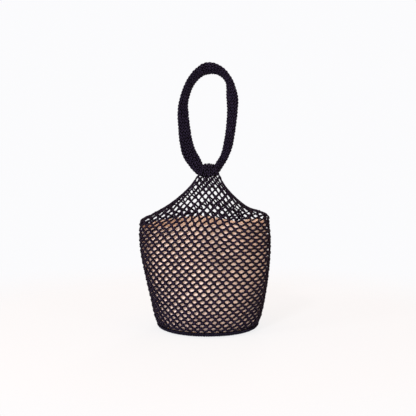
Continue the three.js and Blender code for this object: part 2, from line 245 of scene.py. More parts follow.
LIGHTS = {
    # where each light is, its size and its power
    "key": ((-0.64, -1.77, 1.5), 0.4, 37.5),
    "left": ((-1.63, -0.94, 1.0), 0.6, 15.0),
    "right": ((1.34, -1.34, 1.0), 0.6, 6.0),
    "low": ((-0.2, -1.9, 0.2), 0.6, 7.0),
    "back": ((0.4, 1.9, 1.2), 0.6, 16.0),
}
LIGHT_COLOUR = (0.93, 0.97, 1.0)
LIGHT_TARGET = (0.0, 0.0, 0.17)
BACKDROP = (0.966, 0.966, 0.98, 1)
FILL = {"colour": (1.0, 0.64, 0.37, 1), "strength": 1.25}
CAMERA = {"at": (0.0053, -1.6, 0.3544), "target": (0.0053, 0.0, 0.2034), "sensor": 36.0, "lens": 82.4}

FLOOR = {"middle": 1.0, "radius": 800.0, "rings": 8, "around": 64, "level": -0.3}  # in millimetres
PAPER = {
    "grain": (300.0, 2.0, 0.5),
    "dull": (0.088, 0.084, 0.09, 1),
    "bright": (0.092, 0.088, 0.094, 1),
    "glow": (0.975, 0.985, 1.0, 1),
    "glow_strength": 0.83,
    "fade_start": 0.35,
    "fade_end": 0.75,
}

PANEL_HALF = MESH["columns"] // 2  # half columns from the middle of the front or back to a side
FACE_COLUMNS = 2 * PANEL_HALF  # half columns of the front or the back
HALF_COLUMNS = 2 * MESH["columns"]
WALL_ROWS = MESH["wall_rows"]
PANEL_ROWS = MESH["panel_rows"]
NET_TOP = WALL_ROWS + PANEL_ROWS
KNOT_SHIFT = np.random.default_rng(SEED).uniform(-1, 1, (HALF_COLUMNS, NET_TOP + 2, 2)) * UNEVEN["knot"]


# Tools for shapes


def smooth(share):
    """A share from 0 to 1 that starts and ends slowly."""
    return share * share * (3 - 2 * share)


def read(table, key, column, at):
    """A column of a table at places between its rows, on a smooth curve through the rows."""
    x = np.asarray(table[key], float)
    y = np.asarray(table[column], float)
    slope = np.gradient(y, x)
    slope[1:-1] = (y[2:] - y[:-2]) / (x[2:] - x[:-2])
    at = np.asarray(at, float)
    k = np.clip(np.searchsorted(x, at, side="right") - 1, 0, len(x) - 2)
    span = x[k + 1] - x[k]
    t = np.clip((at - x[k]) / span, 0, 1)
    rise = smooth(t)
    bend = slope[k] * t * (1 - t) ** 2 - slope[k + 1] * t * t * (1 - t)
    return y[k] * (1 - rise) + y[k + 1] * rise + span * bend


def section(column, z):
    """A column of the net's table at heights z."""
    return read(NET_SECTIONS, "z", column, z)


def unit(vectors):
    return vectors / np.maximum(np.linalg.norm(vectors, axis=-1, keepdims=True), TINY)


def lengths_along(line):
    """The length of a line up to each of its points."""
    steps = np.linalg.norm(np.diff(line, axis=0), axis=1)
    return np.concatenate([[0], np.cumsum(steps)])


def ripple(seed, *coordinates):
    """Smooth random values of about -1 to 1, the same on every run."""
    rng = np.random.default_rng(SEED + seed)
    total = 0.0
    for _ in range(RIPPLE["waves"]):
        turn = rng.normal(size=len(coordinates))
        total = total + np.sin(sum(t * c for t, c in zip(turn, coordinates)) + rng.uniform(0, 2 * np.pi))
    return total / math.sqrt(RIPPLE["waves"] / 2) / RIPPLE["peak"]


def round_rings(radius, z, around, centre_x=0.0):
    """Level rings of points, one for each radius and height."""
    angle = np.arange(around) * 2 * np.pi / around
    x = centre_x + np.outer(radius, np.cos(angle))
    y = np.outer(radius, np.sin(angle))
    return np.stack([x, y, np.outer(z, np.ones(around))], axis=-1)


def grid_faces(rows, columns, close_rows=False, close_columns=False):
    """Quads over a grid of points, and each quad corner's row and column, counted on past a seam."""
    r, c = np.meshgrid(
        np.arange(rows if close_rows else rows - 1),
        np.arange(columns if close_columns else columns - 1),
        indexing="ij",
    )
    first = np.stack([r.ravel(), c.ravel()], axis=-1)
    corners = first[:, None] + np.array([(0, 0), (0, 1), (1, 1), (1, 0)])
    return (corners[..., 0] % rows) * columns + corners[..., 1] % columns, corners


def end_part(ring, flip=False):
    """A flat end over a ring of points."""
    count = len(ring)
    fan = np.stack([np.zeros(count - 2, int), np.arange(1, count - 1), np.arange(2, count)], axis=-1)
    return ring, fan[:, ::-1] if flip else fan, np.zeros((count - 2, 3, 2))


def mesh_object(name, material, parts):
    """One smooth mesh object from parts, each of points in millimetres, faces and UVs per face corner."""
    points, loops, starts, uvs = [], [], [], []
    offset = 0
    first_loop = 0
    for part_points, faces, part_uvs in parts:
        points.append(part_points.reshape(-1, 3))
        loops.append((faces + offset).ravel())
        starts.append(first_loop + np.arange(len(faces)) * faces.shape[1])
        uvs.append(part_uvs.reshape(-1, 2))
        offset += len(points[-1])
        first_loop += faces.size
    points, loops = np.concatenate(points), np.concatenate(loops)
    starts, uvs = np.concatenate(starts), np.concatenate(uvs)
    mesh = bpy.data.meshes.new(name)
    mesh.vertices.add(len(points))
    mesh.vertices.foreach_set("co", (points * MM).astype(np.float32).ravel())
    mesh.loops.add(len(loops))
    mesh.loops.foreach_set("vertex_index", loops.astype(np.int32))
    mesh.polygons.add(len(starts))
    mesh.polygons.foreach_set("loop_start", starts.astype(np.int32))
    mesh.polygons.foreach_set("use_smooth", np.ones(len(starts), bool))
    mesh.uv_layers.new(name="UVMap").data.foreach_set("uv", uvs.astype(np.float32).ravel())
    mesh.update(calc_edges=True)
    mesh.validate()
    mesh.materials.append(material)
    piece = bpy.data.objects.new(name, mesh)
    bpy.context.scene.collection.objects.link(piece)
    return piece


def place(piece, slot, *nodes):
    """The piece stands for CAD nodes, which it hides, and hangs under the root body. Its slot is not used."""
    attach(piece, "root")
    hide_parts(*nodes)
    return piece


def cord_parts(path, outward, radius, closed=False):
    """A cord of twisted plies along a path. Its UVs are centimetres along it, and turns about its twist."""
    sides = CORD["sides"]
    if closed:
        tangent = np.roll(path, -1, axis=0) - np.roll(path, 1, axis=0)
        along = lengths_along(np.concatenate([path, path[:1]]))
    else:
        tangent = np.gradient(path, axis=0)
        along = lengths_along(path)
    tangent = unit(tangent)
    sideways = unit(np.cross(tangent, outward))
    facing = np.cross(sideways, tangent)
    repeats = along[-1] / CORD["twist_pitch"] * PLIES
    twist = along / along[-1] * (round(repeats) if closed else repeats) * 2 * np.pi / PLIES
    angle = np.arange(sides) * 2 * np.pi / sides
    off_ply = angle[None, :] - twist[: len(path), None]
    reach = radius * (1 + CORD["ply_depth"] * np.cos(PLIES * off_ply))
    points = (
        path[:, None, :]
        + (reach * np.cos(angle))[..., None] * facing[:, None, :]
        + (reach * np.sin(angle))[..., None] * sideways[:, None, :]
    )
    faces, corners = grid_faces(len(path), sides, closed, True)
    row, column = corners[:, ::-1, 0], corners[:, ::-1, 1]
    uvs = np.stack([along[row] / CM, column / sides - twist[row] / (2 * np.pi)], axis=-1)
    parts = [(points, faces[:, ::-1], uvs)]
    return parts if closed else parts + [end_part(points[0]), end_part(points[-1], flip=True)]


class Skin:
    """A surface on a grid of points, which gives a point and a normal at any row and column."""

    def __init__(self, points, close_rows, close_columns):
        self.points = points
        self.close = (close_rows, close_columns)
        self.normals = unit(np.cross(self._slope(1), self._slope(0)))

    def _slope(self, axis):
        if self.close[axis]:
            return np.roll(self.points, -1, axis=axis) - np.roll(self.points, 1, axis=axis)
        return np.gradient(self.points, axis=axis)

    def at(self, row, column):
        low, share, found = [], [], []
        for spot, count, close in zip((row, column), self.points.shape, self.close):
            spot = spot % count if close else np.clip(spot, 0, count - 1 - SHORT_OF_END)
            low.append(np.floor(spot).astype(int))
            share.append((spot - low[-1])[..., None])
        high = [(k + 1) % n if c else k + 1 for k, n, c in zip(low, self.points.shape, self.close)]
        for values in (self.points, self.normals):
            first = values[low[0], low[1]] * (1 - share[1]) + values[low[0], high[1]] * share[1]
            second = values[high[0], low[1]] * (1 - share[1]) + values[high[0], high[1]] * share[1]
            found.append(first * (1 - share[0]) + second * share[0])
        return found[0], unit(found[1])

    def core_parts(self, sink):
        """The surface itself, sunk under its stitches, with UVs that paint it dark as painted shade between
        them.
        """
        faces, corners = grid_faces(*self.points.shape[:2], *self.close)
        return [(self.points - sink * self.normals, faces, corners * CORE_UV_STEP + CORE_SHADE_UV)]


def lobe_template():
    """A plump grain from -1 to 1 along its length: place along, aside and up for each point, and faces."""
    sides = LOBE["sides"]
    rings = np.asarray(LOBE["rings"])
    plump = np.sqrt(1 - rings**2)
    angle = np.arange(sides) * 2 * np.pi / sides
    along = np.repeat(rings[:, None], sides, axis=1)
    body = np.stack([along, np.outer(plump, np.cos(angle)), np.outer(plump, np.sin(angle))], axis=-1)
    body = body.reshape(-1, 3)
    points = np.concatenate([body, [[-1, 0, 0], [1, 0, 0]]])
    quads, corners = grid_faces(len(rings), sides, False, True)
    tip, top = len(body), len(body) + 1
    last = (len(rings) - 1) * sides
    s = np.arange(sides)
    caps = np.concatenate(
        [
            np.stack([np.full(sides, tip), (s + 1) % sides, s], axis=-1),
            np.stack([np.full(sides, top), last + s, last + (s + 1) % sides], axis=-1),
        ]
    )
    turns = corners[..., 1] / sides + LOBE["uv_turn"]
    cap_turns = np.full(caps.shape, LOBE["tip_turn"])
    quad_uvs = np.stack([(rings[corners[..., 0]] + 1) * LOBE["uv_length"], turns], axis=-1)
    cap_uvs = np.stack([(points[caps, 0] + 1) * LOBE["uv_length"], cap_turns], axis=-1)
    return points, quads[:, ::-1], quad_uvs[:, ::-1], caps[:, ::-1], cap_uvs[:, ::-1]


def lobe_parts(placed, nudge):
    """Grains with their points in place. Each grain's UVs are moved by its nudge."""
    count, size = placed.shape[:2]
    _, quads, quad_uvs, caps, cap_uvs = lobe_template()
    start = np.arange(count)[:, None, None] * size
    # the tips' faces have no points of their own, and use those of the part before them
    tips = (caps + start).reshape(-1, 3) - count * size
    return [
        (placed, (quads + start).reshape(-1, 4), quad_uvs + nudge),
        (np.zeros((0, 3)), tips, cap_uvs + nudge),
    ]


def stitch_parts(skin, rows, columns, row_step, column_step, size, seed, legs=(-1, 1)):
    """Grains of yarn laid on a skin at these rows and columns, two to a V stitch or one to a bead.

    row_step and column_step are one stitch in the skin's own rows and columns."""
    rng = np.random.default_rng(SEED + seed)
    along, aside, up = lobe_template()[0].T
    count = len(rows)
    parts = []
    for leg in legs:
        swell = 1 + STITCH["swell"] * rng.standard_normal((count, 1))
        shift = STITCH["shift"] * rng.standard_normal((2, count, 1))
        row = 0.5 + size["length"] * along + shift[0]
        slant = leg * (STITCH["leg"] + size["open"] * along)
        column = 0.5 + slant + size["width"] * aside * swell + shift[1]
        surface, normal = skin.at((rows[:, None] + row) * row_step, (columns[:, None] + column) * column_step)
        lift = size["height"] * (up * swell + STITCH["crown"] * (1 - along**2)) - size["sink"]
        nudge = rng.uniform(0, 1, (count, 1, 1, 1)) * [1, 0]
        parts += lobe_parts(surface + lift[..., None] * normal, nudge)
    return parts


# Net


def on_face(i):
    """The front, 1, or back, -1, of a half column counted round the bag, and its place from the middle."""
    half_turns = np.round(i / FACE_COLUMNS)
    return 1 - 2 * (half_turns % 2), i - half_turns * FACE_COLUMNS


def face_middle(side):
    """The half column in the middle of the front or back."""
    return 0 if side > 0 else FACE_COLUMNS


def net_height(side, i, j):
    """The height of row j at half column i from the middle of the front or back, where rows arch up."""
    crown = np.cos((i - side * MESH["crown"]) / PANEL_HALF * np.pi / 2) ** 2
    wall = np.minimum(j / WALL_ROWS, 1)
    panel = np.maximum(j - WALL_ROWS, 0) / PANEL_ROWS
    shoulder = NET["bottom"] + (NET["shoulder"] - NET["bottom"]) * wall + MESH["arch"] * wall**2 * crown
    rise = NET["neck"] - NET["shoulder"] - MESH["arch"]
    return shoulder + rise * panel + MESH["arch"] * (1 - crown) * panel ** MESH["level_power"]


def half_columns_to_side(z):
    """Half columns from a middle to the bag's side, or to a panel's edge."""
    narrowing = np.minimum(section("half_width", z) / section("half_width", NET["shoulder"]), 1)
    return PANEL_HALF * np.where(z > NET["shoulder"], narrowing ** MESH["gather"], 1)


def net_surface(side, turn, z, inset=0.0):
    """The middle of the net where it has turned so far from the middle of its front or back."""
    climb = np.clip((z - NET["shoulder"]) / (NET["neck"] - NET["shoulder"]), 0, 1)
    slit = NET["slit_half"] * np.sin(np.pi * climb) + NET["neck_half"] * climb
    half_width = section("half_width", z) - inset * np.sqrt(np.sin(np.pi * climb))
    hump = read(SHOULDER_HUMP, "z", "out", z)
    half_width = half_width + hump * np.maximum(side * np.sin(turn), 0) ** SHOULDER_HUMP["power"]
    x = section("centre_x", z) + side * half_width * np.sin(turn)
    y = -side * (slit + np.maximum(section("half_depth", z) - slit, 0) * np.cos(turn))
    return np.stack([x, y, z], axis=-1)


def net_point(side, i, j, inset=0.0):
    """The net at half column i from the middle of its front or back. Columns are widest at the sides."""
    z = net_height(side, i, j)
    share = np.clip(i / half_columns_to_side(z), -1, 1)
    share = share - MESH["skew"] * (1 - share**2)
    facing = np.interp(z, MESH["facing_z"], MESH["facing"])
    even = np.arcsin(facing * share) / np.arcsin(facing) * np.pi / 2
    half_width, half_depth = section("half_width", z), section("half_depth", z)
    flat = (half_width - half_depth) / (half_width + half_depth)
    # the turn that goes evenly along an oval, very nearly
    turn = even - flat / 4 * np.sin(2 * even)
    return net_surface(side, turn, z, inset)


def outwards(points):
    """Level directions out of the bag, for the faces of its cords."""
    x, y, z = points.T
    across = (x - section("centre_x", z)) / section("half_width", z) ** 2
    through = y / section("half_depth", z) ** 2
    return unit(np.stack([across, through, 0 * z], axis=-1))


def net_row(middle, row, s):
    """Columns and rows of one cord that climbs and falls between row and row + 1, with its unevenness.

    middle is the half column, counted round the bag, from which s is measured."""
    swing = -np.sin(CORD["bluntness"] * np.cos(np.pi * (s - row))) / math.sin(CORD["bluntness"])
    side, aside = on_face(s + middle)
    pitch = np.linalg.norm(net_point(side, aside, row + 1.0) - net_point(side, aside, row + 0.0), axis=1)
    low = max(1 - 2 * row / WALL_ROWS, 0)
    gap = CORD["knot"] + (CORD["low_knot"] - CORD["knot"]) * low if row < WALL_ROWS else CORD["panel_knot"]
    j = row + 0.5 + (0.5 - np.minimum(gap / pitch, CORD["knot_share"]) / 2) * swing
    knot = np.floor(s).astype(int)
    share = smooth(s - knot)[:, None]
    shift = 0.0
    for k, weight in ((knot, 1 - share), (knot + 1, share)):
        shift = shift + weight * KNOT_SHIFT[(k + middle) % HALF_COLUMNS, row + (k + row) % 2]
    turn = (s + middle) / HALF_COLUMNS * 2 * np.pi
    across, through = UNEVEN["round"] * np.cos(turn), UNEVEN["round"] * np.sin(turn)
    drift = [
        size * ripple(seed, across, through, j / UNEVEN["rows"])
        for size, seed in zip(UNEVEN["drift"], SEEDS["drift"])
    ]
    hem = np.clip(j / UNEVEN["hem_rows"], 0, 1) * np.clip((NET_TOP - j) / UNEVEN["hem_rows"], 0, 1)
    lean = MESH["lean"] * np.minimum(j - WALL_ROWS, 0)
    return s + lean + shift[:, 0] + drift[0], j + (shift[:, 1] + drift[1]) * hem


def woven(path, row, s):
    """The path with its cord passing in front of and behind its neighbours, and its outward directions."""
    over = -np.sin(np.pi * (s - row - 1))
    over = CORD["weave"] * np.sign(over) * np.abs(over) ** CORD["weave_power"]
    outward = outwards(path)
    return path + over[:, None] * outward, outward


def wall_path(row, s):
    """The path of a row's cord round the bag, and its outward directions."""
    i, j = net_row(0, row, s)
    side, aside = on_face(i)
    return woven(net_point(side, aside, j), row, s)


def wall_cord(row):
    """A cord that runs all round the bag."""
    path, outward = wall_path(row, np.arange(HALF_COLUMNS * CORD["steps"]) / CORD["steps"])
    return cord_parts(path, outward, CORD["radius"], closed=True)


def knot_parts(lower, upper, share=1.0):
    """Plump knots between places on a lower and an upper cord."""
    points = lobe_template()[0]
    middle = (lower + upper) / 2
    outward = outwards(middle)
    rise = unit(upper - lower)
    along = unit(np.cross(outward, rise))
    sizes = [share * KNOT[name] for name in ("half_length", "half_height", "half_depth")]
    placed = middle[:, None]
    for column, (size, way) in enumerate(zip(sizes, (along, rise, outward))):
        placed = placed + size * points[:, column, None] * way[:, None]
    return lobe_parts(placed, np.zeros((len(middle), 1, 1, 2)))


def wall_knots(row):
    """The knots that tie the cord of a row to the one below it."""
    s = np.arange(row % 2, HALF_COLUMNS, 2).astype(float)
    return knot_parts(wall_path(row - 1, s)[0], wall_path(row, s)[0]) if row else []


def panel_loops(side, row):
    """The half columns at which a row's cord meets the next row's, and where that is inside the edges."""
    s = np.arange(-PANEL_HALF + (PANEL_HALF + row + 1) % 2, PANEL_HALF + 1, 2).astype(float)
    i, j = net_row(face_middle(side), row + 1, s)
    return s, np.abs(i) <= half_columns_to_side(net_height(side, i, j))


def panel_cord(side, row):
    """A cord of a panel. Loops that meet no other cord inside the edges are tied to the edges."""
    half = PANEL_HALF * CORD["steps"]
    s = np.arange(-half, half + 1) / CORD["steps"]
    i, j = net_row(face_middle(side), row, s)
    edge = half_columns_to_side(net_height(side, i, j))
    loops, tied = panel_loops(side, row)
    for loop in loops[~tied] if row + 1 < NET_TOP else []:
        pull = smooth(np.clip(1 - np.abs(s - loop), 0, 1))
        i = i + pull * (np.sign(loop) * edge - i)
    inside = np.nonzero(np.abs(i) <= edge)[0]
    kept = slice(max(inside[0] - 1, 0), inside[-1] + 2)
    path, outward = woven(net_point(side, i[kept], j[kept], MOUTH_EDGE["inset"]), row, s[kept])
    return cord_parts(path, outward, CORD["panel_radius"])


def panel_knots(side, row):
    """The knots that tie a panel's cord to the one below it, inside the panel's edges."""
    middle = face_middle(side)
    s, tied = panel_loops(side, row - 1)
    s = s[tied]
    places = [net_point(side, *net_row(middle, r, s), MOUTH_EDGE["inset"]) for r in (row - 1, row)]
    if row == WALL_ROWS:
        places[0] = wall_path(row - 1, s + middle)[0]
    return knot_parts(*places, KNOT["panel_share"])


def make_net_walls(material):
    middle = WALL_ROWS // 2
    bands = {"net_wall_lower": range(middle), "net_wall_upper": range(middle, WALL_ROWS)}
    return [
        mesh_object(name, material, [part for row in rows for part in wall_cord(row) + wall_knots(row)])
        for name, rows in bands.items()
    ]


def make_net_panel(name, side, material):
    rows = range(WALL_ROWS, NET_TOP)
    parts = [part for row in rows for part in panel_cord(side, row) + panel_knots(side, row)]
    return mesh_object(name, material, parts)


def make_mouth_edges(material):
    """A wavy cord along each edge of each panel, tucked in at the neck."""
    climb = np.linspace(0, 1, MOUTH_EDGE["steps"])
    z = NET["shoulder"] + (NET["neck"] - NET["shoulder"]) * climb
    wave = MOUTH_EDGE["dip"] * (1 - np.abs(np.sin(np.pi * MOUTH_EDGE["loops"] * climb)))
    bend = np.linspace(0, 1, MOUTH_EDGE["tuck_steps"])[1:]
    bend = np.stack([bend**2, bend, np.sin(bend * np.pi / 2)], axis=-1)
    parts = []
    for side in (1, -1):
        for hand in (-1, 1):
            line = net_surface(side, hand * np.pi / 2, z)
            tangent = unit(np.gradient(line, axis=0))
            inward = -np.sign(hand * side) * unit(np.stack([tangent[:, 2], 0 * z, -tangent[:, 0]], axis=-1))
            front = np.array([0.0, -side, 0.0])
            path = line + wave[:, None] * inward + MOUTH_EDGE["forward"] * front
            tuck = np.array([-hand * side, -side, 1.0]) * MOUTH_EDGE["tuck"]
            path = np.concatenate([path, path[-1] + tuck * bend])
            parts += cord_parts(path, np.broadcast_to(front, path.shape), MOUTH_EDGE["radius"])
    return mesh_object("mouth_edging", material, parts)


# Pouch


def pouch_rings():
    """Rings of the cloth from the middle of its floor to its rim.

    Each is its share of the full width, how far up the wall it is, and its turn round the corner below."""
    floor = np.linspace(MIDDLE_SHARE, 1, CLOTH_GRID["floor_rows"])[:-1]
    corner = np.linspace(np.pi / 2, 0, CLOTH_GRID["corner_rows"])[:-1]
    wall = np.linspace(0, 1, CLOTH_GRID["wall_rows"])
    rings = [(share, 0.0, np.pi / 2) for share in floor] + [(1.0, 0.0, turn) for turn in corner]
    return rings + [(1.0, climb, 0.0) for climb in wall]


def creases(cos, sin, z):
    """Wide and fine creases that run aslant round the cloth."""
    wide_seed, fine_seed = SEEDS["crease"]
    speed, slant, height = CREASE["wide"]
    wide = ripple(wide_seed, speed * cos + z / slant, speed * sin, z / height)
    speed, slant, height = CREASE["fine"]
    fine = ripple(fine_seed, speed * cos, speed * sin + z / slant, z / height)
    return wide + CREASE["fine_share"] * fine


def pouch_skin(angle, rim, inset):
    """A face of the cloth, so far inside its outer face."""
    cos, sin = np.cos(angle), np.sin(angle)
    corner = POUCH["corner_radius"]
    radius = corner - inset
    lines = []
    for share, climb, turn in pouch_rings():
        z = POUCH["floor"] + corner + climb * (rim - POUCH["floor"] - corner)
        fold = POUCH["fold_depth"] * climb * (1 + np.cos(POUCH["folds"] * angle)) / 2
        slack = CREASE["depth"] * np.maximum(creases(cos, sin, z) + CREASE["bias"], 0) - CLOTH["swell"]
        slack = min(climb / CLOTH["swell_share"], 1.0) * slack
        hem = CLOTH["hem_depth"] * np.exp(-(((rim - z - CLOTH["hem_drop"]) / CLOTH["hem_width"]) ** 2))
        shrink = POUCH["net_clearance"] + fold + slack + hem * (1 if inset == 0 else -1) + inset
        shrink = shrink + radius * (1 - math.cos(turn))
        x = section("centre_x", z) + share * (section("half_width", z) - shrink) * cos
        y = share * (section("half_depth", z) - shrink) * sin
        lines.append(np.stack([x, y, z - radius * math.sin(turn)], axis=-1))
    return np.array(lines)


def make_pouch(material):
    """The cloth. The second of its UVs is above 0 on its inner face alone, whose colour is painted darker as
    painted shade inside the pouch.
    """
    columns = CLOTH_GRID["columns"]
    angle = np.arange(columns) * 2 * np.pi / columns
    cos, sin = np.cos(angle), np.sin(angle)
    rim = POUCH["rim_height"] + POUCH["rim_rise_to_right"] * cos + POUCH["rim_rise_to_back"] * sin
    off_sag = (np.degrees(angle) - CLOTH["sag_at"]) / CLOTH["sag_width"]
    rim = rim + CLOTH["rim_arch"] * sin**2 - CLOTH["rim_sag"] * np.exp(-(off_sag**2))
    outer = pouch_skin(angle, rim, 0.0)
    inner = pouch_skin(angle, rim, POUCH["thickness"])
    lip = (outer[-1] + inner[-1]) / 2 + np.array([0, 0, CLOTH["lip"]])
    closed = np.concatenate([outer, lip[None], inner[::-1]])
    faces, corners = grid_faces(len(closed), columns, False, True)
    climb = lengths_along(closed[:, 0])
    climb = (climb - climb[len(outer)]) / CLOTH["uv_unit"]
    uvs = np.stack([corners[..., 1] / columns * 2 * np.pi, climb[corners[..., 0]]], axis=-1)
    parts = [(closed, faces, uvs), end_part(outer[0], flip=True), end_part(inner[0])]
    return mesh_object("pouch_cloth", material, parts)


# Bands of the handle and the keeper loop


def ring_curve(t, *columns):
    """A closed smooth curve through the rows of some columns of a table, t from 0 to 1."""
    rows = np.stack([np.asarray(c, float) for c in columns], axis=-1)
    count = len(rows)
    at = np.asarray(t) * count
    k = np.floor(at).astype(int)
    f = (at - k)[:, None]
    a, b, c, d = (rows[(k + n) % count] for n in (-1, 0, 1, 2))
    return 0.5 * (2 * b + (c - a) * f + (2 * a - 5 * b + 4 * c - d) * f**2 + (3 * b - a - 3 * c + d) * f**3)


def even_around(width, depth, squareness, count):
    """Points spaced evenly round a rounded oblong, as places across and through it."""
    power = 2 / squareness
    angle = np.linspace(0, 2 * np.pi, OUTLINE_STEPS)
    across = np.sign(np.cos(angle)) * np.abs(np.cos(angle)) ** power * width / 2
    through = np.sign(np.sin(angle)) * np.abs(np.sin(angle)) ** power * depth / 2
    length = np.concatenate([[0], np.cumsum(np.hypot(np.diff(across), np.diff(through)))])
    at = np.arange(count) / count * length[-1]
    return np.interp(at, length, across), np.interp(at, length, through)


def band_skin(centre, across, through, width, depth, squareness, stitches, closed):
    """The surface of a band along a line of centres."""
    around = stitches["columns"] * stitches["column_steps"]
    rings = []
    for c, a, b, w, d in zip(centre, across, through, width, depth):
        u, v = even_around(w, d, squareness, around)
        rings.append(c + u[:, None] * a + v[:, None] * b)
    return Skin(np.array(rings), closed, True)


def band_parts(skin, stitches, seed):
    """The core of a band, and V stitches all over it."""
    row, column = np.meshgrid(np.arange(stitches["rows"]), np.arange(stitches["columns"]), indexing="ij")
    steps = (stitches["row_steps"], stitches["column_steps"])
    grains = stitch_parts(skin, row.ravel(), column.ravel(), *steps, GRAIN, seed)
    return skin.core_parts(stitches["core"]) + grains


def make_handle(material):
    fine = np.linspace(0, 1, ROUTE_STEPS)
    route = [HANDLE_SECTIONS[c] for c in ("x", "y", "z")]
    length = lengths_along(ring_curve(fine, *route))
    count = HANDLE_STITCHES["rows"] * HANDLE_STITCHES["row_steps"]
    t = np.interp(np.arange(count) / count * length[-1], length, fine)
    centre = ring_curve(t, *route)
    tangent = unit(np.roll(centre, -1, axis=0) - np.roll(centre, 1, axis=0))
    across = unit(np.cross(np.array([0.0, 1.0, 0.0]), tangent))
    through = np.cross(tangent, across)
    width = ring_curve(t, HANDLE_SECTIONS["width"])[:, 0]
    turn, thickness, wider = ring_curve(t, *HANDLE_STRIP.values()).T
    centre = centre + (wider / 2)[:, None] * across
    turn = np.radians(np.maximum(turn, 0))
    across, through = (
        across * np.cos(turn)[:, None] + through * np.sin(turn)[:, None],
        through * np.cos(turn)[:, None] - across * np.sin(turn)[:, None],
    )
    # the strip's own width, so that it keeps the table's width as seen from the front when it is turned
    power = HANDLE_SQUARENESS / (HANDLE_SQUARENESS - 1)
    edge_share = (thickness / 2 * np.sin(turn)) ** power
    strip = 2 * (((width + wider) / 2) ** power - edge_share) ** (1 / power) / np.cos(turn)
    skin = band_skin(centre, across, through, strip, thickness, HANDLE_SQUARENESS, HANDLE_STITCHES, True)
    return mesh_object("handle_band", material, band_parts(skin, HANDLE_STITCHES, SEEDS["handle"]))


def make_keeper(material):
    reach = KEEPER["reach"]
    leg = KEEPER["arch_height"] - reach - KEEPER["foot"]
    total = 2 * leg + np.pi * reach
    along = np.linspace(0, total, KEEPER_STITCHES["rows"] * KEEPER_STITCHES["row_steps"] + 1)
    angle = np.clip((along - leg) / reach, 0, np.pi)
    drop = np.maximum(leg - along, 0) + np.maximum(along - leg - np.pi * reach, 0)
    x = np.full(len(along), KEEPER["centre_x"])
    z = KEEPER["foot"] + leg + reach * np.sin(angle) - drop
    centre = np.stack([x, -reach * np.cos(angle), z], axis=-1)
    across = np.broadcast_to(np.array([-1.0, 0.0, 0.0]), centre.shape)
    through = np.stack([np.zeros(len(along)), -np.cos(angle), np.sin(angle)], axis=-1)
    width = read(KEEPER_SECTIONS, "share", "width", along / total)
    thickness = read(KEEPER_SECTIONS, "share", "thickness", along / total)
    skin = band_skin(centre, across, through, width, thickness, KEEPER["squareness"], KEEPER_STITCHES, False)
    parts = band_parts(skin, KEEPER_STITCHES, SEEDS["keeper"])
    core = parts[0][0]
    parts += [end_part(core[0], flip=True), end_part(core[-1])]
    return mesh_object("keeper_band", material, parts)


# Base


def base_core(radius, z, foot, rim, height):
    """The core under the base's stitches, with the floor and the wall inside its rim, painted dark through
    its UVs as painted shade.
    """
    wall = np.linspace(0, np.pi / 2, BASE_STITCHES["inner_steps"])[::-1]
    inner = rim - BASE["rim_width"]
    inner_radius = inner - (inner - BASE["floor_radius"]) * (1 - np.sin(wall))
    inner_z = BASE["floor"] + (height - BASE["floor"]) * (1 - np.cos(wall))
    outer_radius = np.maximum(radius - BASE_STITCHES["core"], MIDDLE_SHARE / 2 * foot)
    outer_z = np.maximum(z, BASE_STITCHES["core_lift"])
    core_radius = np.concatenate([outer_radius, inner_radius, [MIDDLE_SHARE * foot]])
    core_z = np.concatenate([outer_z, inner_z, [BASE["floor"]]])
    core = round_rings(core_radius, core_z, BASE_STITCHES["around"], BASE["centre_x"])
    faces, corners = grid_faces(*core.shape[:2], False, True)
    return core, faces, corners * CORE_UV_STEP + CORE_SHADE_UV


def make_base(material):
    foot, rim = BASE["foot_radius"], BASE["rim_radius"]
    height = BASE["height"] - BASE_STITCHES["rim_drop"]
    pitch, around = BASE_STITCHES["pitch"], BASE_STITCHES["around"]
    steps = BASE_STITCHES["round_steps"]
    under_rounds = round(foot / pitch)
    rim_rounds = BASE_STITCHES["rim_rounds"]
    under = np.linspace(MIDDLE_SHARE * foot, foot, under_rounds * steps, endpoint=False)
    turn = np.linspace(0, np.pi / 2, rim_rounds * steps + 1)
    radius = np.concatenate([under, foot + (rim - foot) * np.sin(turn)])
    z = np.concatenate([np.zeros(len(under)), height * (1 - np.cos(turn))])
    skin = Skin(round_rings(radius, z, around, BASE["centre_x"]), False, True)
    parts = []
    for k in range(under_rounds + rim_rounds):
        middle = radius[min(k * steps + steps // 2, len(radius) - 1)]
        count = max(round(2 * np.pi * middle / pitch), BASE_STITCHES["least"])
        row = np.full(count, k)
        column = np.arange(count) + 0.5 * (k % 2)
        size, legs = (RIM_GRAIN, (-1, 1)) if k >= under_rounds else (FLOOR_GRAIN, (1,))
        parts += stitch_parts(skin, row, column, steps, around / count, size, SEEDS["base"] + k, legs)
    parts.append(base_core(radius, z, foot, rim, height))
    above_floor = [-np.inf, -np.inf, 0]
    parts = [(np.maximum(points.reshape(-1, 3), above_floor), faces, uvs) for points, faces, uvs in parts]
    return mesh_object("base_crochet", material, parts)


# Materials


def node(tree, kind, inputs=None, **settings):
    made = tree.nodes.new(kind)
    for key, value in settings.items():
        setattr(made, key, value)
    for socket, value in (inputs or {}).items():
        if isinstance(value, bpy.types.NodeSocket):
            tree.links.new(value, made.inputs[socket])
        else:
            made.inputs[socket].default_value = value
    return made


def maths(tree, operation, *values):
    return node(tree, "ShaderNodeMath", dict(enumerate(values)), operation=operation).outputs[0]


def mix(tree, share, first, second):
    """A mix of two colours, at sockets 6 and 7 of the node, with the result at 2."""
    return node(tree, "ShaderNodeMix", {0: share, 6: first, 7: second}, data_type="RGBA").outputs[2]


def noise(tree, where, scale, detail, roughness):
    inputs = {"Vector": where, "Scale": scale, "Detail": detail, "Roughness": roughness}
    return node(tree, "ShaderNodeTexNoise", inputs).outputs[0]


def clamp(tree, value):
    return node(tree, "ShaderNodeClamp", {0: value}).outputs[0]


def bump(tree, look, depth):
    inputs = {"Strength": look["bump"], "Distance": look["bump_height"], "Height": depth}
    return node(tree, "ShaderNodeBump", inputs).outputs[0]


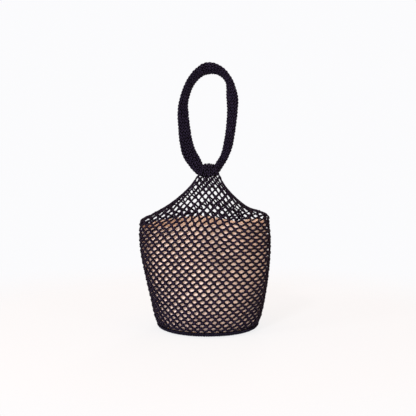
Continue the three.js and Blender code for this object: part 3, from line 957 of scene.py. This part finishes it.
def new_material(name):
    material = bpy.data.materials.new(name)
    material.use_nodes = True
    material.node_tree.nodes.clear()
    return material, material.node_tree


def finish_material(tree, inputs):
    shader = node(tree, "ShaderNodeBsdfPrincipled", inputs)
    output = node(tree, "ShaderNodeOutputMaterial")
    tree.links.new(shader.outputs[0], output.inputs["Surface"])


def rgb(colour):
    """A linear colour from display values of 0 to 255."""
    shares = [value / 255 for value in colour]
    linear = [v / 12.92 if v <= 0.04045 else ((v + 0.055) / 1.055) ** 2.4 for v in shares]
    return (*linear, 1.0)


def yarn_material(name, colours):
    """Twisted cotton: fibres along the yarn, grooves between its plies, and uneven dye. Its colour is painted
    darker in the grooves between plies, as painted shade.
    """
    material, tree = new_material(name)
    uv = node(tree, "ShaderNodeUVMap", uv_map="UVMap").outputs[0]
    where = node(tree, "ShaderNodeTexCoord").outputs["Object"]
    along, around = node(tree, "ShaderNodeSeparateXYZ", {0: uv}).outputs[:2]
    dye = noise(tree, where, *YARN["dye"])
    turns = maths(tree, "MULTIPLY", around, 2.0 * np.pi * PLIES)
    ridge = maths(tree, "MULTIPLY_ADD", maths(tree, "COSINE", turns), 0.5, 0.5)
    drawn_along = maths(tree, "MULTIPLY", along, YARN["fibres_along"])
    drawn_around = maths(tree, "MULTIPLY", around, YARN["fibres_around"])
    strand = node(tree, "ShaderNodeCombineXYZ", {0: drawn_along, 1: drawn_around}).outputs[0]
    fibre = noise(tree, strand, *YARN["fibre"])
    ridge_depth = maths(tree, "MULTIPLY", ridge, YARN["ridge_depth"])
    depth = maths(tree, "MULTIPLY_ADD", fibre, YARN["fibre_depth"], ridge_depth)
    # painted shade: the tone is lower in the grooves between plies, besides the fibres and the uneven dye
    tone = maths(tree, "ADD", depth, maths(tree, "MULTIPLY_ADD", dye, YARN["dye_tone"], YARN["base_tone"]))
    colour = mix(tree, clamp(tree, tone), rgb(colours["dark"]), rgb(colours["light"]))
    finish_material(
        tree,
        {
            "Base Color": colour,
            "Roughness": maths(tree, "MULTIPLY_ADD", fibre, YARN["fibre_gloss"], YARN["roughness"]),
            "Specular IOR Level": YARN["specular"],
            "Normal": bump(tree, YARN, depth),
        },
    )
    return material


def cloth_material():
    """Plain woven cloth: crossing threads, slubs, and slightly uneven colour, with painted shade, a browner
    tan, where the weave lies low.
    """
    material, tree = new_material("tan_cloth")
    uv = node(tree, "ShaderNodeUVMap", uv_map="UVMap").outputs[0]
    where = node(tree, "ShaderNodeTexCoord").outputs["Object"]
    around, up = node(tree, "ShaderNodeSeparateXYZ", {0: uv}).outputs[:2]
    threads = 2 * np.pi * WEAVE["threads"]
    warp = maths(tree, "SINE", maths(tree, "MULTIPLY", around, threads))
    weft = maths(tree, "SINE", maths(tree, "MULTIPLY", up, threads))
    crossing = maths(tree, "MULTIPLY_ADD", maths(tree, "MULTIPLY", warp, weft), 0.5, 0.5)
    slub = noise(tree, where, *WEAVE["slub"])
    tone = noise(tree, where, *WEAVE["tone"])
    thread_depth = maths(tree, "MULTIPLY", crossing, WEAVE["thread_depth"])
    depth = maths(tree, "MULTIPLY_ADD", slub, WEAVE["slub_depth"], thread_depth)
    base = mix(tree, tone, rgb(CLOTH_COLOURS["dull"]), rgb(CLOTH_COLOURS["bright"]))
    # painted shade: the inner face takes the darker inside colour
    inside = maths(tree, "GREATER_THAN", up, 0.0)
    base = mix(tree, inside, base, rgb(CLOTH_COLOURS["inside"]))
    # painted shade: the weave's low places and slubs take on the browner shade colour
    shade = maths(tree, "MULTIPLY_ADD", depth, WEAVE["depth_shade"], WEAVE["base_shade"])
    colour = mix(tree, clamp(tree, shade), base, rgb(CLOTH_COLOURS["shade"]))
    finish_material(
        tree,
        {
            "Base Color": colour,
            "Roughness": maths(tree, "MULTIPLY_ADD", slub, WEAVE["slub_gloss"], WEAVE["roughness"]),
            "Specular IOR Level": WEAVE["specular"],
            "Sheen Weight": WEAVE["sheen"],
            "Sheen Roughness": WEAVE["sheen_roughness"],
            "Normal": bump(tree, WEAVE, depth),
        },
    )
    return material


def floor_material():
    """Pale paper, bright in itself as an overlit sheet is, that fades out with distance."""
    material, tree = new_material("pale_paper")
    where = node(tree, "ShaderNodeTexCoord").outputs["Object"]
    tone = mix(tree, noise(tree, where, *PAPER["grain"]), PAPER["dull"], PAPER["bright"])
    paper = node(tree, "ShaderNodeBsdfDiffuse", {"Color": tone})
    glow = node(tree, "ShaderNodeEmission", {"Color": PAPER["glow"], "Strength": PAPER["glow_strength"]})
    lit = node(tree, "ShaderNodeAddShader", {0: paper.outputs[0], 1: glow.outputs[0]})
    distance = node(tree, "ShaderNodeVectorMath", {0: where}, operation="LENGTH").outputs["Value"]
    reach = {"Value": distance, "From Min": PAPER["fade_start"], "From Max": PAPER["fade_end"]}
    fade = node(tree, "ShaderNodeMapRange", reach, interpolation_type="SMOOTHSTEP").outputs[0]
    clear = node(tree, "ShaderNodeBsdfTransparent")
    mixed = node(tree, "ShaderNodeMixShader", {0: fade, 1: lit.outputs[0], 2: clear.outputs[0]})
    output = node(tree, "ShaderNodeOutputMaterial")
    tree.links.new(mixed.outputs[0], output.inputs["Surface"])
    return material


# Stage: floor, light and camera


def make_floor():
    rings, around = FLOOR["rings"], FLOOR["around"]
    radius = np.linspace(FLOOR["middle"], FLOOR["radius"], rings)
    points = round_rings(radius, np.full(rings, FLOOR["level"]), around)
    faces, corners = grid_faces(rings, around, False, True)
    middle = (points[0], np.arange(around)[None, :], np.zeros((1, around, 2)))
    floor = mesh_object("floor", floor_material(), [(points, faces, corners / around), middle])


def aim(thing, target):
    thing.rotation_euler = (Vector(target) - thing.location).to_track_quat("-Z", "Y").to_euler()


def make_lights():
    for name, (position, size, power) in LIGHTS.items():
        data = bpy.data.lights.new(name, "AREA")
        data.shape = "DISK"
        data.size = size
        data.energy = power
        data.color = LIGHT_COLOUR
        lamp = bpy.data.objects.new(name, data)
        lamp.location = position
        aim(lamp, LIGHT_TARGET)
        bpy.context.scene.collection.objects.link(lamp)


def make_world():
    """A plain pale backdrop, and a warm fill that only lights."""
    world = bpy.data.worlds.new("studio")
    world.use_nodes = True
    tree = world.node_tree
    tree.nodes.clear()
    seen = node(tree, "ShaderNodeBackground", {"Color": BACKDROP, "Strength": 1.0})
    fill = node(tree, "ShaderNodeBackground", {"Color": FILL["colour"], "Strength": FILL["strength"]})
    direct = node(tree, "ShaderNodeLightPath").outputs["Is Camera Ray"]
    both = node(tree, "ShaderNodeMixShader", {0: direct, 1: fill.outputs[0], 2: seen.outputs[0]})
    output = node(tree, "ShaderNodeOutputWorld")
    tree.links.new(both.outputs[0], output.inputs["Surface"])
    bpy.context.scene.world = world
    bpy.context.scene.view_settings.view_transform = "Standard"


def make_camera():
    data = bpy.data.cameras.new("camera")
    data.sensor_width = CAMERA["sensor"]
    data.lens = CAMERA["lens"]
    camera = bpy.data.objects.new("camera", data)
    camera.location = CAMERA["at"]
    aim(camera, CAMERA["target"])
    bpy.context.scene.collection.objects.link(camera)
    bpy.context.scene.camera = camera


cord_cotton = yarn_material("black_cord", CORD_COLOURS)
crochet_cotton = yarn_material("black_crochet", CROCHET_COLOURS)

for piece in make_net_walls(cord_cotton):
    place(piece, "black_cord", "net_wall")
place(make_net_panel("net_panel_front", 1, cord_cotton), "black_cord", "net_front")
place(make_net_panel("net_panel_back", -1, cord_cotton), "black_cord", "net_back")
place(make_mouth_edges(cord_cotton), "black_cord", "net_front", "net_back")

pouch = place(make_pouch(cloth_material()), "tan_cloth", "pouch_wall", "pouch_floor")

place(make_handle(crochet_cotton), "black_crochet", "handle")
place(make_keeper(crochet_cotton), "black_crochet", "keeper_loop")
place(make_base(crochet_cotton), "black_crochet", "base_disc")

make_floor()
make_lights()
make_world()
make_camera()
